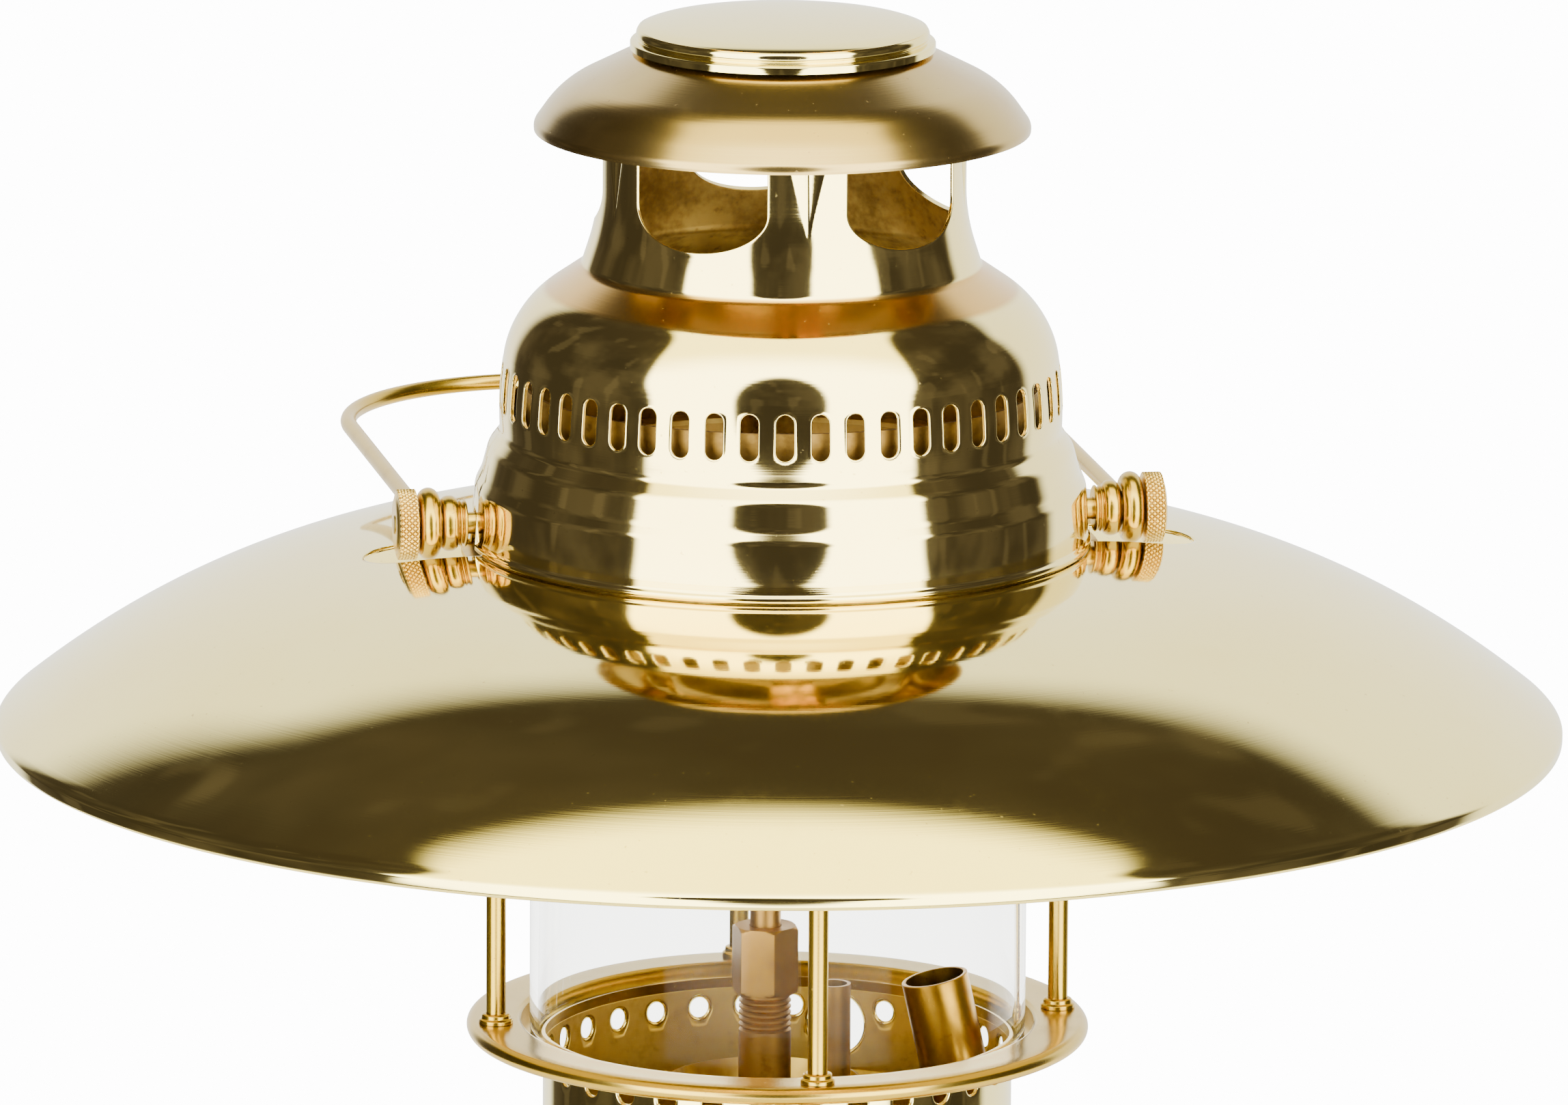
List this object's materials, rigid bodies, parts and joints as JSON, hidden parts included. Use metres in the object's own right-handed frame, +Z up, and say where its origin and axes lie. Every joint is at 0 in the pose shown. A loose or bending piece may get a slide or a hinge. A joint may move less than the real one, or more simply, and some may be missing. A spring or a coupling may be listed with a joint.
{
  "type": "pressure lantern",
  "caption": "Brass pressure lantern with a wide round reflector shade, vented hood, bail, glass cylinder, perforated collar and a pumped fuel tank.",
  "frame": {"origin": "centre of the foot ring's underside, on the lantern's axis", "axes": "+Z up along the lantern's axis; the two hood studs and the bail's hinge lie along X; the hand wheel faces -Y"},
  "size_m": [0.3146, 0.3146, 0.3951],
  "materials": {
    "polished_brass": "mirror polished",
    "satin_brass": "satin, turned",
    "bronze": "dull bronze, machined",
    "clear_glass": "clear",
    "steel": "turned",
    "ceramic": "unglazed clay",
    "mantle_cloth": "woven, unburnt",
    "leather": "oiled",
    "black_rubber": "matt",
    "dial_face": "enamelled",
    "needle_paint": "black paint"
  },
  "bodies": {
    "frame": {"foot_ring": "polished_brass", "tank": "polished_brass", "pickup_tube": "satin_brass", "pickup_strainer": "satin_brass", "collar": "polished_brass", "gallery_ring": "polished_brass", "posts": "polished_brass", "post_flanges": "polished_brass", "upper_ring": "satin_brass", "studs": "satin_brass", "stud_collars": "polished_brass", "reflector": "polished_brass", "inner_casing": "satin_brass", "heat_deck": "satin_brass", "glass_cylinder": "clear_glass", "valve_body": "bronze", "vaporiser_bush": "bronze", "union_nut": "bronze", "vaporiser_tube": "bronze", "jet": "satin_brass", "spirit_cup": "polished_brass", "spirit_filler_tube": "satin_brass", "gland_nut": "satin_brass", "mixing_tube": "satin_brass", "gas_chamber": "satin_brass", "ceramic_nozzle": "ceramic", "mantle": "mantle_cloth", "preheater_body": "bronze", "flame_tube": "satin_brass", "pump_barrel": "satin_brass", "pump_cap": "polished_brass", "check_valve": "satin_brass", "filler_neck": "satin_brass", "filler_gasket": "black_rubber"},
    "hood": {"hood": "polished_brass", "cap": "polished_brass", "cap_disc": "polished_brass"},
    "bail": {"bail": "polished_brass"},
    "nut_left": {"knurled_nut_left": "satin_brass"},
    "nut_right": {"knurled_nut_right": "satin_brass"},
    "pump": {"pump_rod": "steel", "pump_knob": "polished_brass", "pump_piston": "satin_brass", "pump_leather": "leather"},
    "control": {"control_spindle": "satin_brass", "hand_wheel": "polished_brass", "wheel_screw": "steel"},
    "needle": {"cleaning_needle": "steel"},
    "preheat_lever": {"preheater_lever": "polished_brass"},
    "filler": {"filler_cap": "polished_brass", "gauge_case": "polished_brass", "gauge_dial": "dial_face", "gauge_glass": "clear_glass"},
    "gauge_pointer": {"gauge_needle": "needle_paint"},
    "release": {"release_screw": "polished_brass"}
  },
  "joints": [
    {"name": "bail_swing", "type": "hinge", "parent": "frame", "child": "bail", "pos_m": [0, 0, 0.293], "axis": [1, 0, 0], "range_deg": [-5, 185]},
    {"name": "hood_lift", "type": "slide", "parent": "frame", "child": "hood", "axis": [0, 0, 1], "range_m": [0, 0.06]},
    {"name": "nut_left_turn", "type": "hinge", "parent": "frame", "child": "nut_left", "pos_m": [-0.0753, 0, 0.293], "axis": [-1, 0, 0], "continuous": true},
    {"name": "nut_right_turn", "type": "hinge", "parent": "frame", "child": "nut_right", "pos_m": [0.0753, 0, 0.293], "axis": [1, 0, 0], "continuous": true},
    {"name": "pump_stroke", "type": "slide", "parent": "frame", "child": "pump", "axis": [0.5913, -0.4962, 0.6357], "range_m": [0, 0.055]},
    {"name": "control_turn", "type": "hinge", "parent": "frame", "child": "control", "pos_m": [0, -0.06, 0.152], "axis": [0, -1, 0], "range_deg": [0, 180]},
    {"name": "needle_lift", "type": "slide", "parent": "frame", "child": "needle", "axis": [0, 0, 1], "range_m": [0, 0.0024]},
    {"name": "preheat_lever_turn", "type": "hinge", "parent": "frame", "child": "preheat_lever", "pos_m": [0.064, 0, 0.16], "axis": [1, 0, 0], "range_deg": [0, 90]},
    {"name": "filler_cap_turn", "type": "hinge", "parent": "frame", "child": "filler", "pos_m": [-0.05954, -0.04996, 0.11876], "axis": [-0.5913, -0.4962, 0.6357], "continuous": true},
    {"name": "gauge_pointer_turn", "type": "hinge", "parent": "filler", "child": "gauge_pointer", "pos_m": [-0.06232, -0.05229, 0.12175], "axis": [-0.5913, -0.4962, 0.6357], "range_deg": [0, 240], "stiffness_Nm_per_rad": 0.0004},
    {"name": "release_screw_turn", "type": "hinge", "parent": "filler", "child": "release", "pos_m": [-0.07206, -0.06046, 0.10631], "axis": [-0.487, -0.4086, -0.7719], "continuous": true}
  ],
  "couplings": [
    {"joint": "needle_lift", "follows": "control_turn", "m_per_rad": 0.00076394}
  ]
}
